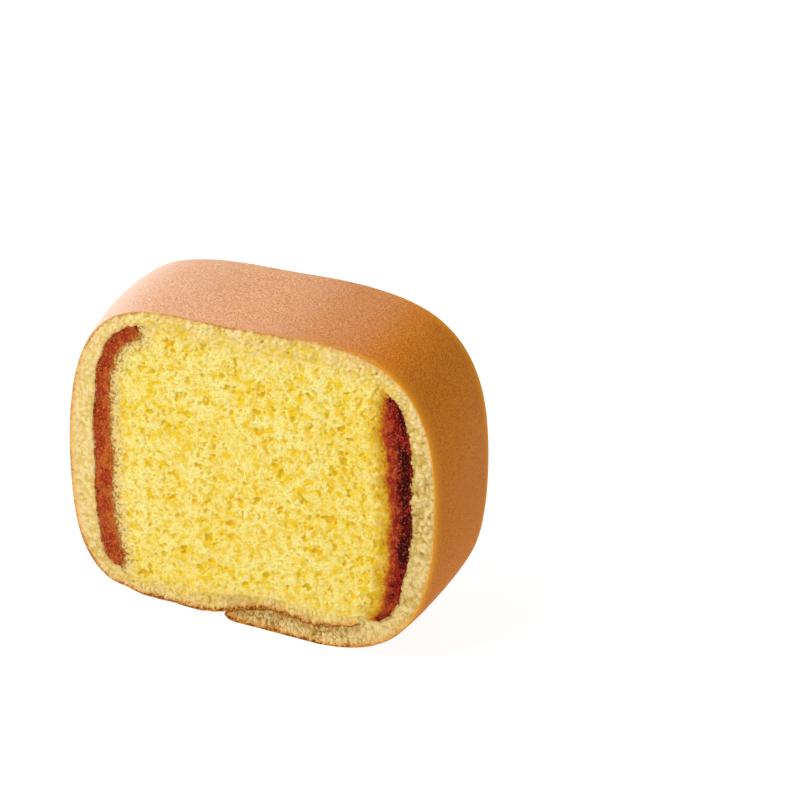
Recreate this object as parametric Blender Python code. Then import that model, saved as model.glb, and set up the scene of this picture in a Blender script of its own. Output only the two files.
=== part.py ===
"""An upright slice of yellow castella, rolled in one browned skin with sweet bean paste down each side.

The cut face looks along -Y. The skin is a single sheet: its inner end is tucked under the sponge, it
goes round by the left side, the top and the right side, and its outer end laps over the tucked end
underneath. Every line of the section is an inset from one outline, measured in from the surface, so
the layers stay nested when a size changes. A place along the outline is the share of the way round,
from the middle of the underside by the left, the top and the right.
"""
import bisect
import math
import random

import bmesh
import bpy
from mathutils import Vector
from mathutils.geometry import interpolate_bezier

MM = 0.001

# Overall size
HALF_WIDTH = 31.0 * MM
HEIGHT = 51.5 * MM
DEPTH = 20.0 * MM
GAP = 0.3 * MM

# The four points where the outline runs level or upright
BOTTOM_X = 3.0 * MM
TOP_X = -4.5 * MM
LEFT_Z = 19.2 * MM
RIGHT_Z = 28.6 * MM

# Handle lengths in mm that leave one of those points and reach the next, a pair for each quarter
# turn: bottom to left, left to top, top to right, right to bottom. Towards its back the roll is a
# little taller and its corners fuller. Its own weight settles the underside flat.
FRONT_HANDLES = ((22.6, 23.1), (35.5, 12.4), (18.7, 28.8), (29.6, 13.4))
BACK_HANDLES = ((22.6, 23.1), (24.0, 28.3), (15.7, 27.7), (22.7, 23.7))
BACK_RISE = 0.5 * MM
SETTLE = 0.15 * MM

# How far in mm the slice swells out halfway between its two cuts, by place
SWELLING = (
    (0.110, 0.0),
    (0.200, 0.5),
    (0.270, 0.5),
    (0.350, 0.9),
    (0.420, 0.8),
    (0.550, 0.4),
    (0.760, 0.5),
    (0.880, 0.5),
    (0.960, 0.0),
)

# Inset in mm of the core that the skin wraps, by place
CORE_INSETS = (
    (0.000, 6.1),
    (0.040, 4.7),
    (0.070, 3.5),
    (0.120, 3.4),
    (0.158, 3.1),
    (0.200, 4.1),
    (0.260, 4.5),
    (0.320, 4.1),
    (0.360, 3.2),
    (0.395, 2.4),
    (0.430, 1.9),
    (0.465, 3.4),
    (0.590, 3.5),
    (0.656, 2.6),
    (0.700, 3.3),
    (0.757, 4.0),
    (0.830, 3.6),
    (0.862, 2.9),
    (0.885, 2.9),
    (0.908, 5.1),
    (0.940, 5.6),
    (1.000, 6.1),
)

# Inset in mm of the tucked part's outer face: from the end of the flap under the sponge, past the tip
# of the lap that covers it, to the corner where it comes out as the surface. Places below zero are
# still to come on the way round.
TUCKED_INSETS = (
    (-0.090, 4.0),
    (-0.075, 3.7),
    (-0.058, 3.5),
    (-0.036, 3.3),
    (-0.010, 3.9),
    (0.004, 3.8),
    (0.018, 3.0),
    (0.034, 1.9),
    (0.044, 1.1),
    (0.058, 0.6),
    (0.125, 0.7),
    (0.150, 0.0),
)
FLAP_END = -0.090
FLAP_TIP_THICKNESS = 0.5 * MM
LAP_END = 1.039

# Thickness in mm of the paste down each side, by place
LEFT_PASTE = (
    (0.146, 1.5),
    (0.160, 2.6),
    (0.200, 2.6),
    (0.250, 2.4),
    (0.280, 2.5),
    (0.340, 1.9),
    (0.400, 1.7),
    (0.425, 1.5),
)
RIGHT_PASTE = (
    (0.655, 0.9),
    (0.672, 2.6),
    (0.690, 3.7),
    (0.715, 3.3),
    (0.740, 3.3),
    (0.760, 2.8),
    (0.790, 2.7),
    (0.830, 2.2),
    (0.855, 1.9),
    (0.872, 1.1),
    (0.889, 0.8),
)

# How far along the outline, in places, a layer's rounded end reaches, its thickness at the very end
# as a share of the full one, and how much of the way to its inner face the lap's end closes
LAP_ROUNDING = 0.008
LAP_PINCH = 0.85
PASTE_ROUNDING = 0.0045
BLUNT = 0.2
PASTE_CLEARANCE = 0.0025

# Fineness of the solids
CURVE_STEPS = 120
DIRECTION_REACH = 0.012
SLICES = 4
SKIN_COUNT = 104
LAP_COUNT = 12
PASTE_COUNT = 22
END_STEPS = 3
SPONGE_COLUMNS = 22
SHARP_ANGLE = math.radians(35)

# Open bubbles in the sponge's two cut faces
SEED = 7
BUBBLES = 150
BUBBLE_RADIUS = (1.1 * MM, 2.0 * MM)
BUBBLE_DEPTH = (0.25 * MM, 0.65 * MM)


def clear_scene():
    for thing in list(bpy.data.objects):
        bpy.data.objects.remove(thing, do_unlink=True)


def make_material(name, colour, roughness):
    material = bpy.data.materials.new(name)
    material.use_nodes = True
    shader = material.node_tree.nodes["Principled BSDF"]
    shader.inputs["Base Color"].default_value = (*colour, 1.0)
    shader.inputs["Roughness"].default_value = roughness
    shader.inputs["Metallic"].default_value = 0.0
    return material


def eased(stations, place):
    """Value in metres at a place, eased from each station of a table in mm to the next."""
    if place <= stations[0][0]:
        return stations[0][1] * MM
    for (start, low), (end, high) in zip(stations, stations[1:]):
        if place <= end:
            share = (place - start) / (end - start)
            return (low + (high - low) * share * share * (3 - 2 * share)) * MM
    return stations[-1][1] * MM


def spaced(start, end, count):
    """Evenly spaced places from start to end, both included."""
    return [start + (end - start) * index / count for index in range(count + 1)]


def outline(handles, rise):
    """Points of the closed outer line, flat where the roll has settled on the ground."""
    knots = (
        Vector((BOTTOM_X, 0.0, 0.0)),
        Vector((-HALF_WIDTH, 0.0, LEFT_Z)),
        Vector((TOP_X, 0.0, HEIGHT + rise)),
        Vector((HALF_WIDTH, 0.0, RIGHT_Z)),
    )
    headings = (
        Vector((-1.0, 0.0, 0.0)),
        Vector((0.0, 0.0, 1.0)),
        Vector((1.0, 0.0, 0.0)),
        Vector((0.0, 0.0, -1.0)),
    )
    points = []
    for quarter, (leaving, reaching) in enumerate(handles):
        following = (quarter + 1) % len(knots)
        first = knots[quarter] + headings[quarter] * leaving * MM
        second = knots[following] - headings[following] * reaching * MM
        curve = interpolate_bezier(knots[quarter], first, second, knots[following], CURVE_STEPS)
        points.extend(curve[:-1])
    for point in points:
        point.z = max(point.z - SETTLE, 0.0)
    return points


class Section:
    """One outline of the slice, read by place and inset."""

    def __init__(self, points):
        self.points = points
        self.lengths = [0.0]
        for index, point in enumerate(points):
            following = points[(index + 1) % len(points)]
            self.lengths.append(self.lengths[-1] + (following - point).length)

    def on_line(self, place):
        """Point of the outline at a place, which may be below 0 or above 1."""
        target = (place % 1.0) * self.lengths[-1]
        index = bisect.bisect_right(self.lengths, target) - 1
        start = self.points[index]
        end = self.points[(index + 1) % len(self.points)]
        span = self.lengths[index + 1] - self.lengths[index]
        return start.lerp(end, (target - self.lengths[index]) / span)

    def inside(self, place, inset):
        """Point at an inset from the outline, square to it."""
        along = self.on_line(place + DIRECTION_REACH) - self.on_line(place - DIRECTION_REACH)
        inward = Vector((along.z, 0.0, -along.x)).normalized()
        return self.on_line(place) + inward * inset


FRONT_SECTION = Section(outline(FRONT_HANDLES, 0.0))
BACK_SECTION = Section(outline(BACK_HANDLES, BACK_RISE))


def position(place, inset, slice_number):
    """Place and inset in the section that lies slice_number slices behind the front cut."""
    share = slice_number / SLICES
    swelling = eased(SWELLING, place % 1.0) * (1 - (2 * share - 1) ** 2)
    front = FRONT_SECTION.inside(place, inset - swelling)
    back = BACK_SECTION.inside(place, inset - swelling)
    point = front.lerp(back, share)
    point.y = (share - 0.5) * DEPTH
    return point


def finish_solid(mesh, name, material):
    bmesh.ops.recalc_face_normals(mesh, faces=mesh.faces)
    data = bpy.data.meshes.new(name)
    mesh.to_mesh(data)
    mesh.free()
    data.materials.append(material)
    data.shade_smooth()
    data.set_sharp_from_angle(angle=SHARP_ANGLE)
    solid = bpy.data.objects.new(name, data)
    bpy.context.collection.objects.link(solid)


def make_layer(name, rows, material):
    """A layer along the outline, from rows that each hold a place, an outer and an inner inset."""
    mesh = bmesh.new()
    rings = []
    for place, outer, inner in rows:
        outside = [mesh.verts.new(position(place, outer, number)) for number in range(SLICES + 1)]
        inside = [mesh.verts.new(position(place, inner, number)) for number in range(SLICES + 1)]
        rings.append(outside + inside[::-1])
    around = len(rings[0])
    for ring, following in zip(rings, rings[1:]):
        for index in range(around):
            beside = (index + 1) % around
            mesh.faces.new((ring[index], ring[beside], following[beside], following[index]))
    for ring in (rings[0], rings[-1]):
        for index in range(SLICES):
            opposite = around - 1 - index
            mesh.faces.new((ring[index], ring[index + 1], ring[opposite - 1], ring[opposite]))
    finish_solid(mesh, name, material)


def rounded_end(end, heading, reach, insets, pinch, blunt):
    """Rows that close a layer to its end, along the outline for heading 1 or back for heading -1.

    insets gives the full layer's outer and inner inset at a place. The thickness closes on the line
    that lies pinch of the way from the outer face to the inner one, down to a share of blunt.
    """
    rows = []
    for index in range(1, END_STEPS + 1):
        angle = math.pi / 2 * index / END_STEPS
        place = end - heading * reach * (1 - math.sin(angle))
        outer, inner = insets(place)
        line = outer + (inner - outer) * pinch
        share = max(math.cos(angle), blunt)
        rows.append((place, line + (outer - line) * share, line + (inner - line) * share))
    return rows


def core_inset(place):
    return eased(CORE_INSETS, place % 1.0)


def tucked_inset(place):
    """Outer face of the skin from its tucked end onwards."""
    return min(eased(TUCKED_INSETS, place), core_inset(place) - FLAP_TIP_THICKNESS)


def lap_insets(place):
    """Outer and inner inset of the end that laps over the tucked part."""
    return 0.0, tucked_inset(place - 1.0) - GAP


def make_wrapper(material):
    rows = []
    for place in spaced(FLAP_END, FLAP_END + 1.0, SKIN_COUNT)[:-1]:
        rows.append((place, tucked_inset(place), core_inset(place)))
    for place in spaced(FLAP_END + 1.0, LAP_END - LAP_ROUNDING, LAP_COUNT):
        rows.append((place, *lap_insets(place)))
    rows.extend(rounded_end(LAP_END, 1, LAP_ROUNDING, lap_insets, LAP_PINCH, BLUNT))
    make_layer("wrapper", rows, material)


def paste_rows(table, clearance, extra, pinch, blunt):
    """Rows of one side's paste, reaching further by clearance and thicker by extra."""

    def insets(place):
        outer = core_inset(place) + GAP
        return outer, outer + eased(table, place) + extra

    start = table[0][0] - clearance
    end = table[-1][0] + clearance
    rows = rounded_end(start, -1, PASTE_ROUNDING, insets, pinch, blunt)[::-1]
    for place in spaced(start + PASTE_ROUNDING, end - PASTE_ROUNDING, PASTE_COUNT):
        rows.append((place, *insets(place)))
    rows.extend(rounded_end(end, 1, PASTE_ROUNDING, insets, pinch, blunt))
    return rows


def make_paste(name, table, material):
    make_layer(name, paste_rows(table, 0.0, 0.0, 0.5, BLUNT), material)


def sponge_beside_paste(table):
    """Places and insets of a side of the sponge that gives way to paste, corner to corner."""
    rows = paste_rows(table, PASTE_CLEARANCE, GAP, 0.0, 0.0)
    return [(place, inner) for place, _, inner in rows]


def sponge_between(start, end):
    """Places and insets of a side of the sponge that meets the skin, corner to corner."""
    return [(place, core_inset(place) + GAP) for place in spaced(start, end, SPONGE_COLUMNS)]


def patch(sides):
    """Grid of points that fills four sides, each from one corner to the next round the patch."""
    bottom, left, top, right = sides
    columns = len(bottom) - 1
    rows = len(left) - 1
    grid = []
    for row in range(rows + 1):
        rise = row / rows
        line = []
        for column in range(columns + 1):
            run = column / columns
            across = left[row].lerp(right[rows - row], run)
            upward = bottom[columns - column].lerp(top[column], rise)
            lower = left[0].lerp(right[-1], run)
            upper = left[-1].lerp(right[0], run)
            line.append(across + upward - lower.lerp(upper, rise))
        grid.append(line)
    return grid


def open_bubbles(rng):
    """Seeded bubbles over a cut face, each a centre, a radius and a depth."""
    bubbles = []
    for _ in range(BUBBLES):
        centre = Vector((rng.uniform(-HALF_WIDTH, HALF_WIDTH), 0.0, rng.uniform(0.0, HEIGHT)))
        bubbles.append((centre, rng.uniform(*BUBBLE_RADIUS), rng.uniform(*BUBBLE_DEPTH)))
    return bubbles


def bubble_depth(bubbles, point):
    depth = 0.0
    for centre, radius, deepest in bubbles:
        distance = math.hypot(point.x - centre.x, point.z - centre.z) / radius
        depth = max(depth, deepest * (1 - distance * distance))
    return depth


def add_cut_face(mesh, sides, inward, bubbles):
    """A crumbed face of the sponge between its four sides of vertices."""
    bottom, left, top, right = sides
    grid = patch([[vert.co for vert in side] for side in sides])
    verts = [bottom[::-1]]
    for row, line in enumerate(grid[1:-1], start=1):
        crumbs = []
        for point in line[1:-1]:
            dent = Vector((0.0, inward * bubble_depth(bubbles, point), 0.0))
            crumbs.append(mesh.verts.new(point + dent))
        verts.append([left[row], *crumbs, right[-1 - row]])
    verts.append(top)
    for lower, upper in zip(verts, verts[1:]):
        for column in range(len(lower) - 1):
            mesh.faces.new((lower[column], lower[column + 1], upper[column + 1], upper[column]))


def make_sponge(material):
    """The block of sponge: sides that run from the front cut to the back, and two cut faces."""
    left = sponge_beside_paste(LEFT_PASTE)
    right = sponge_beside_paste(RIGHT_PASTE)
    bottom = sponge_between(right[-1][0] - 1.0, left[0][0])
    top = sponge_between(left[-1][0], right[0][0])
    lengths = [len(side) - 1 for side in (bottom, left, top, right)]
    around = bottom[:-1] + left[:-1] + top[:-1] + right[:-1]

    mesh = bmesh.new()
    loops = []
    for number in range(SLICES + 1):
        loops.append([mesh.verts.new(position(place, inset, number)) for place, inset in around])
    for loop, following in zip(loops, loops[1:]):
        for index in range(len(loop)):
            mesh.faces.new((loop[index], loop[index - 1], following[index - 1], following[index]))

    rng = random.Random(SEED)
    for loop, inward in ((loops[0], 1.0), (loops[-1], -1.0)):
        sides = []
        start = 0
        for length in lengths:
            sides.append([loop[(start + index) % len(loop)] for index in range(length + 1)])
            start += length
        add_cut_face(mesh, sides, inward, open_bubbles(rng))
    finish_solid(mesh, "sponge", material)


clear_scene()
sponge_yellow = make_material("sponge_yellow", (0.91, 0.68, 0.13), 0.85)
browned_skin = make_material("browned_skin", (0.66, 0.33, 0.13), 0.55)
bean_paste = make_material("bean_paste", (0.36, 0.075, 0.03), 0.5)
dark_bean_paste = make_material("dark_bean_paste", (0.19, 0.025, 0.012), 0.4)

make_sponge(sponge_yellow)
make_wrapper(browned_skin)
make_paste("paste_left", LEFT_PASTE, bean_paste)
make_paste("paste_right", RIGHT_PASTE, dark_bean_paste)
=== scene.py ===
"""Looks of the castella slice: open yellow crumb, a browned skin round it, moist paste at its sides.

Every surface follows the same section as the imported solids: insets from one outline, read by place,
which is the share of the way round from the middle of the underside by the left, the top and the right.
"""
import math

import bpy
import numpy as np
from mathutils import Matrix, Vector
from mathutils.geometry import interpolate_bezier


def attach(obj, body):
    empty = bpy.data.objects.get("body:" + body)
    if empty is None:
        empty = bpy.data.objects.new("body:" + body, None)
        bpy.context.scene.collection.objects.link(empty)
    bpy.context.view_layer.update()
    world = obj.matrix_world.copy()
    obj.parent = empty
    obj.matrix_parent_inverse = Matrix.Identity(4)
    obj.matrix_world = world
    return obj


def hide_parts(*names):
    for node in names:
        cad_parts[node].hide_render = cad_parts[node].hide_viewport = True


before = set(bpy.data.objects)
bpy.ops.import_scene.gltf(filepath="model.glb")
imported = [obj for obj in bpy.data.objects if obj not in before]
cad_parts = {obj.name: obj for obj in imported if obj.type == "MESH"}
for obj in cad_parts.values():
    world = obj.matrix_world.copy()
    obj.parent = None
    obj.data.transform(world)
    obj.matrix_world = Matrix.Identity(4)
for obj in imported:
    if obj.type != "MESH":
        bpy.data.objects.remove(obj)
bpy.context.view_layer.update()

MM = 0.001
SEED = 20

# Section of the slice, in mm, as in the solids
HALF_WIDTH = 31.0
HEIGHT = 51.5
DEPTH = 20.0
GAP = 0.3
BOTTOM_X = 3.0
TOP_X = -4.5
LEFT_Z = 19.2
RIGHT_Z = 28.6
FRONT_HANDLES = ((22.6, 23.1), (35.5, 12.4), (18.7, 28.8), (29.6, 13.4))
BACK_HANDLES = ((22.6, 23.1), (24.0, 28.3), (15.7, 27.7), (22.7, 23.7))
BACK_RISE = 0.5
SETTLE = 0.15
CURVE_STEPS = 900
DIRECTION_REACH = 0.012

# How far the slice swells out halfway between its two cuts, by place
SWELLING = (
    (0.11, 0.0), (0.2, 0.5), (0.27, 0.5), (0.35, 0.9), (0.42, 0.8), (0.55, 0.4),
    (0.76, 0.5), (0.88, 0.5), (0.96, 0.0),
)

# Inset of the core that the skin wraps, by place
CORE_INSETS = (
    (0.0, 6.1), (0.04, 4.7), (0.07, 3.5), (0.12, 3.4), (0.158, 3.1), (0.2, 4.1),
    (0.26, 4.5), (0.32, 4.1), (0.36, 3.2), (0.395, 2.4), (0.43, 1.9), (0.465, 3.4),
    (0.59, 3.5), (0.656, 2.6), (0.7, 3.3), (0.757, 4.0), (0.83, 3.6), (0.862, 2.9),
    (0.885, 2.9), (0.908, 5.1), (0.94, 5.6), (1.0, 6.1),
)

# Inset of the tucked part's outer face, from the end of the flap to where it comes out as the surface
TUCKED_INSETS = (
    (-0.09, 4.0), (-0.075, 3.7), (-0.058, 3.5), (-0.036, 3.3), (-0.01, 3.9), (0.004, 3.8),
    (0.018, 3.0), (0.034, 1.9), (0.044, 1.1), (0.058, 0.6), (0.125, 0.7), (0.15, 0.0),
)
FLAP_END = -0.09
FLAP_TIP_THICKNESS = 0.5
LAP_END = 1.039
SEAM_WIDTH = 0.06

# Thickness of the paste down each side, by place
LEFT_PASTE = (
    (0.146, 1.5), (0.16, 2.6), (0.2, 2.6), (0.25, 2.4), (0.28, 2.5), (0.34, 1.9),
    (0.4, 1.7), (0.425, 1.5),
)
RIGHT_PASTE = (
    (0.655, 0.9), (0.672, 2.6), (0.69, 3.7), (0.715, 3.3), (0.74, 3.3), (0.76, 2.8),
    (0.79, 2.7), (0.83, 2.2), (0.855, 1.9), (0.872, 1.1), (0.889, 0.8),
)

# How far the paste keeps its wet and dark tones beside the skin, by place; on the right they are
# partly painted shade of its sunken edge
LEFT_WET = ((0.146, 0.35), (0.28, 0.45), (0.36, 0.6), (0.425, 0.5))
RIGHT_WET_AND_SHADE = ((0.655, 1.0), (0.83, 1.0), (0.872, 0.0), (0.889, 0.0))

# Ends of the lap and the strips: lengths as shares of the way round, and shares of the thickness
LAP_ROUNDING = 0.008
LAP_PINCH = 0.85
PASTE_ROUNDING = 0.0045
PASTE_PINCH = 0.5
PASTE_CLEARANCE = 0.0015
BLUNT = 0.05
END_STEPS = 6

# Neighbouring layers meet midway in the solids' gap, and each dives under the other past that line
JOINT_REACH = 0.4
JOINT_SINK = 0.5
SOFT_EDGE = 0.25

# Paste beside the skin, in mm: how far it runs under, its crevice, and where and how deep it lies wet
PASTE_LEDGE = 0.2
PASTE_CREVICE = 0.04
WET_REACH = 1.6
WET_FADE = 0.6
WET_SINK = 0.15

# Swells, dimples and lumps of the skin, and the waves between the layers: pitch and height in mm
SWELL_PITCH = 9.0
SWELL_HEIGHT = 0.1
DIMPLE_PITCH = 1.5
DIMPLE_HEIGHT = 0.02
LUMP_PITCH = 1.2
CORE_WAVES = ((2.6, 0.15), (0.9, 0.1))

# How high a relief may stand above its cut in mm, and how deep its large bubbles are for their radius
HIGHEST = 0.1
HOLE_DEPTH = 0.5

# By place: how browned the cut's rim is, how much duller the cut is (by the lap also painted shadow),
# how coarse it is, how much its texture is drawn out, whether the skin touches crumb, how far the
# crust turns from a painted sheen on top to tanned sides, how strong the painted sheen is at the top
# left, how much the crust is browner and darkened by painted shade, and how lumpy the seam is
BROWNING = (
    (-0.09, 0.05), (-0.075, 0.35), (-0.055, 0.6), (-0.03, 0.8), (-0.005, 1.1), (0.03, 1.3),
    (0.05, 0.95), (0.1, 0.85), (0.16, 0.55), (0.22, 0.3), (0.4, 0.3), (0.6, 0.4),
    (0.68, 0.0), (0.84, 0.0), (0.9, 0.5), (0.95, 0.9), (1.0, 1.05), (1.039, 1.3),
)
SHADE = (
    (-0.09, 0.3), (0.0, 0.4), (0.05, 0.3), (0.12, 0.45), (0.18, 0.35), (0.24, 0.25),
    (0.38, 0.2), (0.44, 0.05), (0.6, 0.05), (0.65, 0.15), (0.7, 0.3), (0.75, 0.6),
    (0.84, 0.75), (0.95, 0.9), (1.039, 1.0),
)
COARSENESS = (
    (-0.09, 1.3), (0.05, 1.2), (0.16, 0.9), (0.2, 0.7), (0.4, 0.75), (0.47, 1.2),
    (0.64, 1.2), (0.72, 1.4), (0.79, 1.3), (0.83, 0.7), (0.9, 0.65), (0.935, 1.4),
    (1.039, 1.5),
)
STRETCH = (
    (-0.09, 0.45), (0.05, 0.5), (0.1, 0.8), (0.16, 1.0), (0.9, 1.0), (0.945, 0.4),
    (1.039, 0.35),
)
TOUCH = (
    (-0.09, 1.0), (0.12, 1.0), (0.16, 0.0), (0.41, 0.0), (0.45, 1.0), (0.64, 1.0),
    (0.67, 0.0), (1.039, 0.0),
)
SHEEN_TO_TAN = (
    (-0.09, 1.0), (0.29, 1.0), (0.36, 0.4), (0.405, 0.0), (0.5, 0.0), (0.545, 0.1),
    (0.59, 0.5), (0.64, 0.95), (0.7, 1.0), (1.039, 1.0),
)
PAINTED_SHEEN = ((0.34, 0.0), (0.378, 0.8), (0.45, 0.1), (0.5, 0.0))
BROWNER_AND_SHADED = (
    (-0.09, 0.3), (0.1, 0.4), (0.2, 0.7), (0.28, 0.65), (0.35, 0.05), (0.5, 0.0),
    (0.58, 0.2), (0.65, 0.0), (0.78, 0.25), (1.039, 0.3),
)
LUMPS = (
    (-0.09, 0.15), (-0.06, 0.35), (-0.02, 0.5), (0.01, 0.4), (0.04, 0.25), (0.06, 0.12),
    (0.15, 0.05), (0.17, 0.0), (0.9, 0.0), (0.91, 0.15), (0.94, 0.35), (0.98, 0.5),
    (1.01, 0.4), (1.039, 0.25),
)

# Tables that the skin's material reads
SKIN_TABLES = {
    "browning": BROWNING,
    "shade": SHADE,
    "tan": SHEEN_TO_TAN,
    "faded": PAINTED_SHEEN,
    "dimness": BROWNER_AND_SHADED,
    "touch": TOUCH,
}

# Fineness of the meshes: spacing in mm and spans along the skin and paste, and cells across the sponge
SKIN_STEP = 0.2
SKIN_ACROSS = 19
SKIN_ALONG_DEPTH = 34
HIDDEN_SPANS = 3
PASTE_STEP = 0.14
PASTE_ACROSS = 22
SPONGE_COLUMNS = 290
SPONGE_ROWS = 320
RELAX_ROUNDS = 30
LINE_STRIDE = 3

# Rounding of the skin's cut edges in mm, less where it is thin, and the degrees of a sharp edge
EDGE_ROUNDING = 0.25
EDGE_SPANS = 3
THIN_TUCK = 0.45
SHARP_ANGLE = 70

# Photograph's camera, in mm and degrees, and in m how near to it things show
CAMERA_PLACE = (149.5, -282.5, 207.5)
CAMERA_AZIMUTH = 24.5
CAMERA_ELEVATION = 28.4
LENS = 108.0
SENSOR = 36.0
IMAGE_SIZE = 800
CLIP_START = 0.01

# Largest open bubbles of the front cut by pixel of the photograph: centre, width and height
HOLES = (
    (169, 343, 11, 10), (158, 334, 7, 5), (203, 347, 8, 8), (235, 362, 5, 15), (144, 366, 5, 6),
    (153, 371, 6, 7), (201, 375, 6, 6), (226, 387, 6, 9), (246, 392, 6, 5), (177, 398, 5, 12),
    (206, 402, 6, 12), (262, 396, 7, 7), (165, 411, 5, 7), (241, 408, 4, 5), (146, 419, 5, 11),
    (257, 413, 9, 6), (275, 412, 6, 7), (258, 433, 6, 8), (274, 350, 6, 6), (301, 366, 8, 6),
    (295, 377, 5, 7), (309, 396, 6, 8), (346, 394, 6, 5), (334, 405, 7, 5), (327, 417, 6, 8),
    (341, 431, 8, 13), (291, 420, 5, 9), (310, 427, 6, 6), (351, 440, 9, 6), (343, 459, 9, 15),
    (275, 463, 6, 10), (280, 474, 8, 12), (285, 461, 8, 4), (334, 475, 9, 7), (199, 466, 8, 7),
    (213, 457, 5, 6), (172, 473, 8, 5), (245, 484, 7, 6), (348, 494, 6, 11), (171, 497, 8, 7),
    (194, 501, 6, 10), (239, 501, 7, 7), (258, 501, 9, 7), (303, 502, 10, 9), (279, 509, 7, 9),
    (330, 520, 18, 8), (231, 524, 9, 8), (312, 530, 8, 6), (208, 538, 8, 6), (305, 538, 6, 9),
    (184, 550, 9, 10), (335, 549, 6, 8), (317, 552, 14, 7), (343, 563, 6, 9), (145, 573, 17, 8),
    (179, 572, 5, 6), (266, 575, 7, 6), (245, 584, 7, 6), (306, 588, 9, 6),
)

# Largest bubbles of the back cut, in mm: corners of where they lie, their half widths and tallness
BACK_HOLE_CORNERS = ((-24.0, 7.0), (23.0, 45.0))
BACK_HOLE_WIDTHS = (0.4, 0.8)
BACK_HOLE_TALLNESS = (0.7, 2.2)

# Light, as shares of what makes a white surface fully white, and lengths in m
WORLD_LIGHT = 0.35
FLOOR_GLOW = 0.92
FLOOR_TONE = 0.18
FLOOR_REACH = 4.0
LAMP_DISTANCE = 0.75

# Lamps: name, direction from the slice, size and light
LAMPS = (
    ("key", (-0.45, -0.42, 0.75), 0.5, 0.9),
    ("sheen", (-0.55, 0.75, 0.3), 0.6, 0.3),
)

# Sizes in mm of the finest noise and of the grain, which the materials share
FINE_PITCH = 0.26
GRAIN_PITCH = 0.5


# Numbers along the section

def smooth(share):
    """A share from 0 to 1, eased at both ends."""
    return share * share * (3 - 2 * share)


def eased(stations, places):
    """Values at places, eased from each station of a table to the next."""
    stops, values = np.array(stations).T
    places = np.clip(places, stops[0], stops[-1])
    index = np.clip(np.searchsorted(stops, places, side="right") - 1, 0, len(stops) - 2)
    share = smooth((places - stops[index]) / (stops[index + 1] - stops[index]))
    return values[index] + (values[index + 1] - values[index]) * share


def outline(handles, rise):
    """Points of the closed outer line in mm, an array of x and z."""
    corners = ((BOTTOM_X, 0.0), (-HALF_WIDTH, LEFT_Z), (TOP_X, HEIGHT + rise), (HALF_WIDTH, RIGHT_Z))
    knots = [Vector(corner) for corner in corners]
    headings = [Vector(heading) for heading in ((-1.0, 0.0), (0.0, 1.0), (1.0, 0.0), (0.0, -1.0))]
    points = []
    for quarter, (leaving, reaching) in enumerate(handles):
        following = (quarter + 1) % len(knots)
        first = knots[quarter] + headings[quarter] * leaving
        second = knots[following] - headings[following] * reaching
        curve = interpolate_bezier(knots[quarter], first, second, knots[following], CURVE_STEPS)
        points.extend((point[0], max(point[1] - SETTLE, 0.0)) for point in curve[:-1])
    return np.array(points)


class Section:
    """One outline of the slice, read by place and inset."""

    def __init__(self, points):
        self.points = np.vstack([points, points[:1]])
        steps = np.linalg.norm(np.diff(self.points, axis=0), axis=1)
        self.lengths = np.concatenate([[0.0], np.cumsum(steps)])

    def on_line(self, places):
        target = (places % 1.0) * self.lengths[-1]
        x = np.interp(target, self.lengths, self.points[:, 0])
        z = np.interp(target, self.lengths, self.points[:, 1])
        return np.stack([x, z], axis=-1)

    def inside(self, places, insets):
        along = self.on_line(places + DIRECTION_REACH) - self.on_line(places - DIRECTION_REACH)
        along /= np.linalg.norm(along, axis=-1, keepdims=True)
        inward = np.stack([along[..., 1], -along[..., 0]], axis=-1)
        return self.on_line(places) + inward * np.asarray(insets)[..., None]


FRONT_SECTION = Section(outline(FRONT_HANDLES, 0.0))
BACK_SECTION = Section(outline(BACK_HANDLES, BACK_RISE))
PERIMETER = FRONT_SECTION.lengths[-1]


def flat_points(places, insets, share):
    """x and z in mm, at a share of the way from the front cut to the back one."""
    share = np.asarray(share)
    swelling = eased(SWELLING, places % 1.0) * (1 - (2 * share - 1) ** 2)
    front = FRONT_SECTION.inside(places, insets - swelling)
    back = BACK_SECTION.inside(places, insets - swelling)
    return front + (back - front) * share[..., None]


def sunk(from_edge):
    """How deep a layer has dived under its neighbour, this far in from its edge."""
    return JOINT_SINK * np.clip(1.0 - from_edge / JOINT_REACH, 0.0, 1.0) ** 2


# Seeded noise

class Noise:
    """Smooth noise from -1 to 1 over a plane, with features about one pitch across."""

    size = 256

    def __init__(self, rng, pitch):
        self.pitch = pitch
        self.values = rng.uniform(-1.0, 1.0, (self.size, self.size))

    def at(self, u, v):
        u = np.asarray(u) / self.pitch
        v = np.asarray(v) / self.pitch
        column = np.floor(u).astype(int)
        row = np.floor(v).astype(int)
        right = smooth(u - column)
        up = smooth(v - row)
        corners = [
            self.values[(column + across) % self.size, (row + rise) % self.size]
            for across in (0, 1)
            for rise in (0, 1)
        ]
        lower = corners[0] + (corners[2] - corners[0]) * right
        upper = corners[1] + (corners[3] - corners[1]) * right
        return lower + (upper - lower) * up


WAVES = [(Noise(np.random.default_rng(SEED), pitch), height) for pitch, height in CORE_WAVES]


def core_inset(places):
    """Inset of the core, a little wavy, so that the layers don't meet in a clean line."""
    length = (places % 1.0) * PERIMETER
    waves = sum(height * noise.at(length, 0.0) for noise, height in WAVES)
    return eased(CORE_INSETS, places % 1.0) + waves


def tucked_inset(places):
    return np.minimum(eased(TUCKED_INSETS, places), core_inset(places) - FLAP_TIP_THICKNESS)


def cells_round(u, v):
    """Columns and rows of the square cell that each point lies in and of the eight round it."""
    column = np.floor(u).astype(int)
    row = np.floor(v).astype(int)
    for across in (-1, 0, 1):
        for rise in (-1, 0, 1):
            yield column + across, row + rise


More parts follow.
